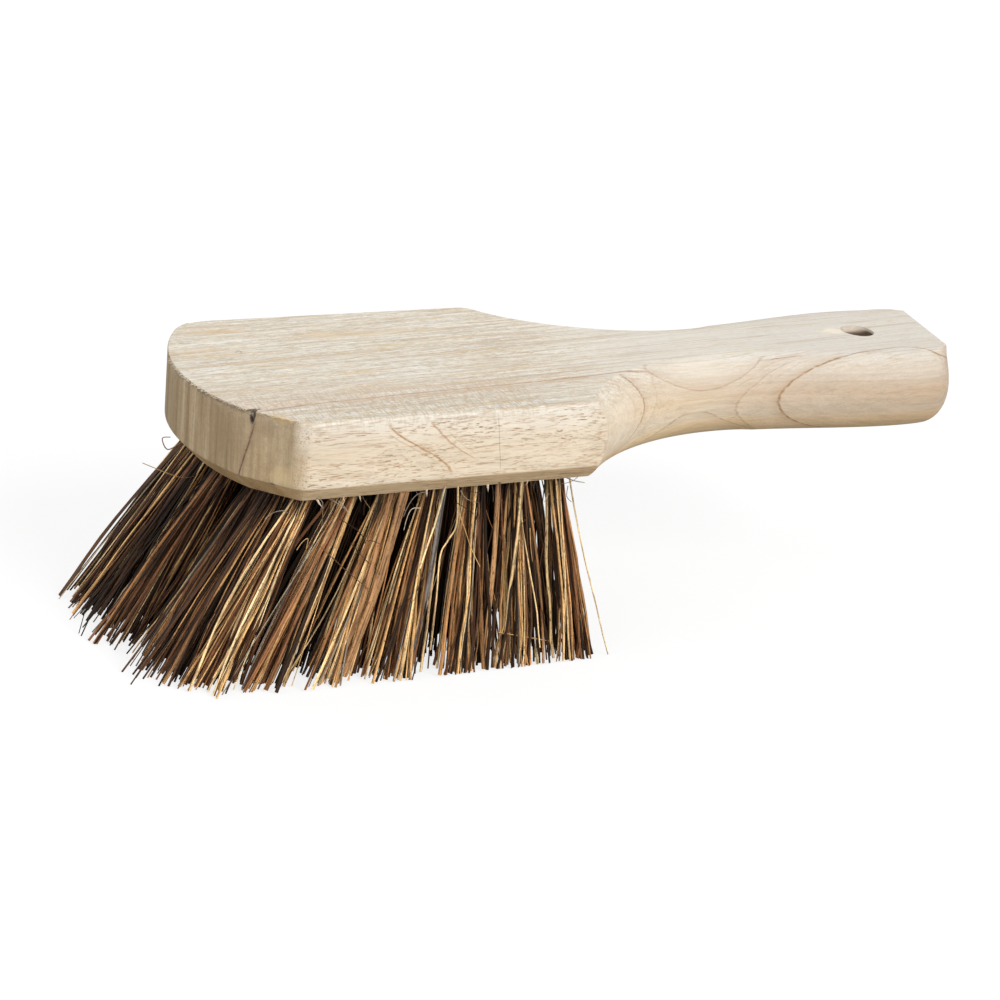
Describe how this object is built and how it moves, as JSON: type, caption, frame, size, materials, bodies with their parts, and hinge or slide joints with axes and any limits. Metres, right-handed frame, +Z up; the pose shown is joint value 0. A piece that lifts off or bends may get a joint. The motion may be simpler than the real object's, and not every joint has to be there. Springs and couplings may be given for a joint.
{
  "type": "pot brush",
  "caption": "Hand brush with a one-piece wooden back and handle, a hanging hole, and rows of splayed plant-fibre tufts, each folded over a wire staple in a drilled hole.",
  "frame": {"origin": "under the middle of the whole brush, on the surface that its fibre tips stand on", "axes": "+X from the head to the end of the handle, +Y across the head, +Z up from the tips to the flat top of the back"},
  "size_m": [0.2474, 0.08, 0.0715],
  "materials": {
    "wood": "sawn and sanded, bare",
    "fibre": "stiff natural plant fibre, satin",
    "wire": "bright drawn wire"
  },
  "bodies": {
    "root": {"back": "wood", "tuft_r1_t1": "fibre", "tuft_r1_t2": "fibre", "tuft_r1_t3": "fibre", "tuft_r1_t4": "fibre", "tuft_r1_t5": "fibre", "tuft_r1_t6": "fibre", "tuft_r1_t7": "fibre", "tuft_r2_t1": "fibre", "tuft_r2_t2": "fibre", "tuft_r2_t3": "fibre", "tuft_r2_t4": "fibre", "tuft_r2_t5": "fibre", "tuft_r3_t1": "fibre", "tuft_r3_t2": "fibre", "tuft_r3_t3": "fibre", "tuft_r3_t4": "fibre", "tuft_r3_t5": "fibre", "tuft_r4_t1": "fibre", "tuft_r4_t2": "fibre", "tuft_r4_t3": "fibre", "tuft_r4_t4": "fibre", "tuft_r4_t5": "fibre", "tuft_r5_t1": "fibre", "tuft_r5_t2": "fibre", "tuft_r5_t3": "fibre", "tuft_r5_t4": "fibre", "tuft_r5_t5": "fibre", "tuft_r5_t6": "fibre", "tuft_r5_t7": "fibre", "staple_r1_t1": "wire", "staple_r1_t2": "wire", "staple_r1_t3": "wire", "staple_r1_t4": "wire", "staple_r1_t5": "wire", "staple_r1_t6": "wire", "staple_r1_t7": "wire", "staple_r2_t1": "wire", "staple_r2_t2": "wire", "staple_r2_t3": "wire", "staple_r2_t4": "wire", "staple_r2_t5": "wire", "staple_r3_t1": "wire", "staple_r3_t2": "wire", "staple_r3_t3": "wire", "staple_r3_t4": "wire", "staple_r3_t5": "wire", "staple_r4_t1": "wire", "staple_r4_t2": "wire", "staple_r4_t3": "wire", "staple_r4_t4": "wire", "staple_r4_t5": "wire", "staple_r5_t1": "wire", "staple_r5_t2": "wire", "staple_r5_t3": "wire", "staple_r5_t4": "wire", "staple_r5_t5": "wire", "staple_r5_t6": "wire", "staple_r5_t7": "wire"}
  },
  "joints": []
}
